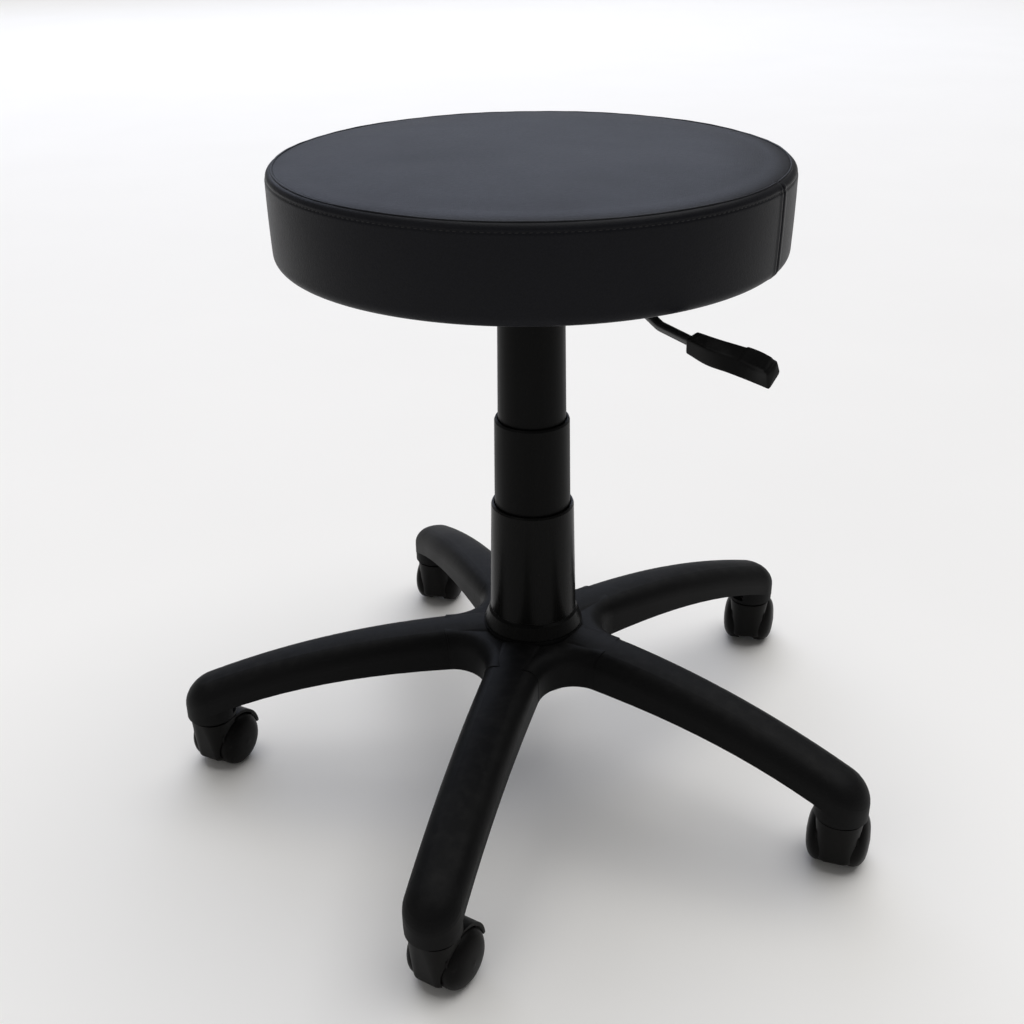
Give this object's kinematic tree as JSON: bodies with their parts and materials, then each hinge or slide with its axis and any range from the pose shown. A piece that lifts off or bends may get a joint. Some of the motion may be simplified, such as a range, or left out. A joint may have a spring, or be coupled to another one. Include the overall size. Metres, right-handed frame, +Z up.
{
  "type": "adjustable swivel stool",
  "caption": "Round padded stool on a gas lift with telescoping covers, a height lever and a five-star base on hooded twin-wheel casters.",
  "frame": {"origin": "on the floor under the column's axis, with the wheels resting on the floor", "axes": "+Z up the column; +X to the right and +Y away from the camera of the reference view; the lever points to azimuth -55 degrees"},
  "size_m": [0.5732, 0.6014, 0.5321],
  "materials": {
    "nylon": "satin, fine moulded texture",
    "cover_plastic": "semi-gloss",
    "caster_plastic": "satin",
    "wheel_plastic": "satin",
    "handle_plastic": "satin",
    "vinyl": "fine-grained black vinyl",
    "foam": "open-cell foam",
    "plywood": "raw plywood",
    "dust_cloth": "non-woven cloth",
    "black_steel": "black enamel",
    "zinc_steel": "zinc plated",
    "bright_steel": "ground",
    "acetal": "natural",
    "rubber": "moulded"
  },
  "bodies": {
    "base": {"five_star_base": "nylon", "hub_ring": "zinc_steel", "stand_tube": "black_steel", "guide_bush": "acetal", "bearing_lower_race": "bright_steel", "bearing_balls": "bright_steel", "bearing_cage": "acetal", "lower_cover": "cover_plastic", "caster_stems": "zinc_steel", "stem_grip_rings": "bright_steel"},
    "lift_rod": {"piston_rod": "bright_steel", "bearing_upper_race": "bright_steel", "retaining_clip": "zinc_steel", "bumper": "rubber", "gas_piston": "acetal"},
    "middle_stage": {"middle_cover": "cover_plastic"},
    "seat": {"pressure_cylinder": "black_steel", "rod_seal": "rubber", "valve_block": "zinc_steel", "upper_cover": "cover_plastic", "seat_plate": "black_steel", "lever_bracket": "zinc_steel", "lever_pin": "bright_steel", "seat_top_panel": "vinyl", "seat_band": "vinyl", "seat_piping": "vinyl", "seat_foam": "foam", "seat_board": "plywood", "dust_cover": "dust_cloth", "plate_bolts": "zinc_steel", "tee_nuts": "zinc_steel", "staples": "bright_steel"},
    "lever": {"lever_rod": "black_steel", "lever_handle": "handle_plastic"},
    "valve": {"valve_button": "zinc_steel"},
    "front_right_caster": {"front_right_hood": "caster_plastic", "front_right_axle": "bright_steel"},
    "front_right_roller_a": {"front_right_wheel_a": "wheel_plastic"},
    "front_right_roller_b": {"front_right_wheel_b": "wheel_plastic"},
    "back_right_caster": {"back_right_hood": "caster_plastic", "back_right_axle": "bright_steel"},
    "back_right_roller_a": {"back_right_wheel_a": "wheel_plastic"},
    "back_right_roller_b": {"back_right_wheel_b": "wheel_plastic"},
    "back_left_caster": {"back_left_hood": "caster_plastic", "back_left_axle": "bright_steel"},
    "back_left_roller_a": {"back_left_wheel_a": "wheel_plastic"},
    "back_left_roller_b": {"back_left_wheel_b": "wheel_plastic"},
    "left_caster": {"left_hood": "caster_plastic", "left_axle": "bright_steel"},
    "left_roller_a": {"left_wheel_a": "wheel_plastic"},
    "left_roller_b": {"left_wheel_b": "wheel_plastic"},
    "front_caster": {"front_hood": "caster_plastic", "front_axle": "bright_steel"},
    "front_roller_a": {"front_wheel_a": "wheel_plastic"},
    "front_roller_b": {"front_wheel_b": "wheel_plastic"}
  },
  "joints": [
    {"name": "seat_swivel", "type": "hinge", "parent": "base", "child": "lift_rod", "pos_m": [0, 0, 0.09205], "axis": [0, 0, 1], "continuous": true},
    {"name": "seat_lift", "type": "slide", "parent": "lift_rod", "child": "seat", "axis": [0, 0, 1], "range_m": [-0.12, 0]},
    {"name": "middle_slide", "type": "slide", "parent": "base", "child": "middle_stage", "axis": [0, 0, 1], "range_m": [-0.06, 0]},
    {"name": "lever_lift", "type": "hinge", "parent": "seat", "child": "lever", "pos_m": [0.0195, -0.02785, 0.45105], "axis": [-0.8192, -0.5736, 0], "range_deg": [0, 4], "stiffness_Nm_per_rad": 6},
    {"name": "valve_press", "type": "slide", "parent": "seat", "child": "valve", "axis": [0, 0, 1], "range_m": [-0.0032, 0], "stiffness_N_per_m": 400},
    {"name": "front_right_swivel", "type": "hinge", "parent": "base", "child": "front_right_caster", "pos_m": [0.23855, -0.15226, 0.04], "axis": [0, 0, 1], "continuous": true},
    {"name": "front_right_roll_a", "type": "hinge", "parent": "front_right_caster", "child": "front_right_roller_a", "pos_m": [0.24263, -0.13971, 0.02325], "axis": [-0.9511, 0.309, 0], "continuous": true},
    {"name": "front_right_roll_b", "type": "hinge", "parent": "front_right_caster", "child": "front_right_roller_b", "pos_m": [0.24263, -0.13971, 0.02325], "axis": [-0.9511, 0.309, 0], "continuous": true},
    {"name": "back_right_swivel", "type": "hinge", "parent": "base", "child": "back_right_caster", "pos_m": [0.21853, 0.17982, 0.04], "axis": [0, 0, 1], "continuous": true},
    {"name": "back_right_roll_a", "type": "hinge", "parent": "back_right_caster", "child": "back_right_roller_a", "pos_m": [0.22172, 0.19263, 0.02325], "axis": [-0.9703, 0.2419, 0], "continuous": true},
    {"name": "back_right_roll_b", "type": "hinge", "parent": "back_right_caster", "child": "back_right_roller_b", "pos_m": [0.22172, 0.19263, 0.02325], "axis": [-0.9703, 0.2419, 0], "continuous": true},
    {"name": "back_left_swivel", "type": "hinge", "parent": "base", "child": "back_left_caster", "pos_m": [-0.10349, 0.2634, 0.04], "axis": [0, 0, 1], "continuous": true},
    {"name": "back_left_roll_a", "type": "hinge", "parent": "back_left_caster", "child": "back_left_roller_a", "pos_m": [-0.10052, 0.27626, 0.02325], "axis": [-0.9744, 0.225, 0], "continuous": true},
    {"name": "back_left_roll_b", "type": "hinge", "parent": "back_left_caster", "child": "back_left_roller_b", "pos_m": [-0.10052, 0.27626, 0.02325], "axis": [-0.9744, 0.225, 0], "continuous": true},
    {"name": "left_swivel", "type": "hinge", "parent": "base", "child": "left_caster", "pos_m": [-0.28249, -0.01703, 0.04], "axis": [0, 0, 1], "continuous": true},
    {"name": "left_roll_a", "type": "hinge", "parent": "left_caster", "child": "left_roller_a", "pos_m": [-0.2767, -0.00517, 0.02325], "axis": [-0.8988, 0.4384, 0], "continuous": true},
    {"name": "left_roll_b", "type": "hinge", "parent": "left_caster", "child": "left_roller_b", "pos_m": [-0.2767, -0.00517, 0.02325], "axis": [-0.8988, 0.4384, 0], "continuous": true},
    {"name": "front_swivel", "type": "hinge", "parent": "base", "child": "front_caster", "pos_m": [-0.0711, -0.27392, 0.04], "axis": [0, 0, 1], "continuous": true},
    {"name": "front_roll_a", "type": "hinge", "parent": "front_caster", "child": "front_roller_a", "pos_m": [-0.0643, -0.26261, 0.02325], "axis": [-0.8572, 0.515, 0], "continuous": true},
    {"name": "front_roll_b", "type": "hinge", "parent": "front_caster", "child": "front_roller_b", "pos_m": [-0.0643, -0.26261, 0.02325], "axis": [-0.8572, 0.515, 0], "continuous": true}
  ],
  "couplings": [
    {"joint": "middle_slide", "follows": "seat_lift", "ratio": 0.5},
    {"joint": "valve_press", "follows": "lever_lift", "m_per_rad": -0.0386}
  ]
}
